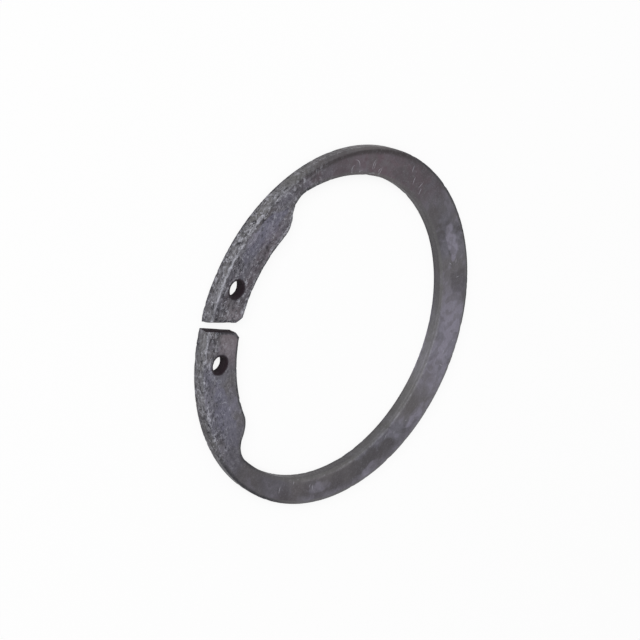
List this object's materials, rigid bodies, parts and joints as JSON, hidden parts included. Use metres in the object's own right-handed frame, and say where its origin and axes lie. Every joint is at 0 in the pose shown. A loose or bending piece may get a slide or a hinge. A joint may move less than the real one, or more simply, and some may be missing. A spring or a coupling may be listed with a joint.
{
  "type": "external retaining ring with inward lugs",
  "caption": "Open spring steel ring with inward lugs and plier holes, which snaps into a groove on a shaft and stops parts sliding off it.",
  "frame": {"origin": "centre of the ring's outer circle, on the lower face that it lies on", "axes": "+Z along the ring's axis, up through its thickness; -Y towards the gap; +X to the right of the gap seen from above"},
  "size_m": [0.0732, 0.0732, 0.002],
  "materials": {
    "phosphated_spring_steel": "dark grey phosphate over spring steel, dull, with faint brown and blue patches and small scratches"
  },
  "bodies": {
    "root": {"retaining_ring": "phosphated_spring_steel"}
  },
  "joints": []
}
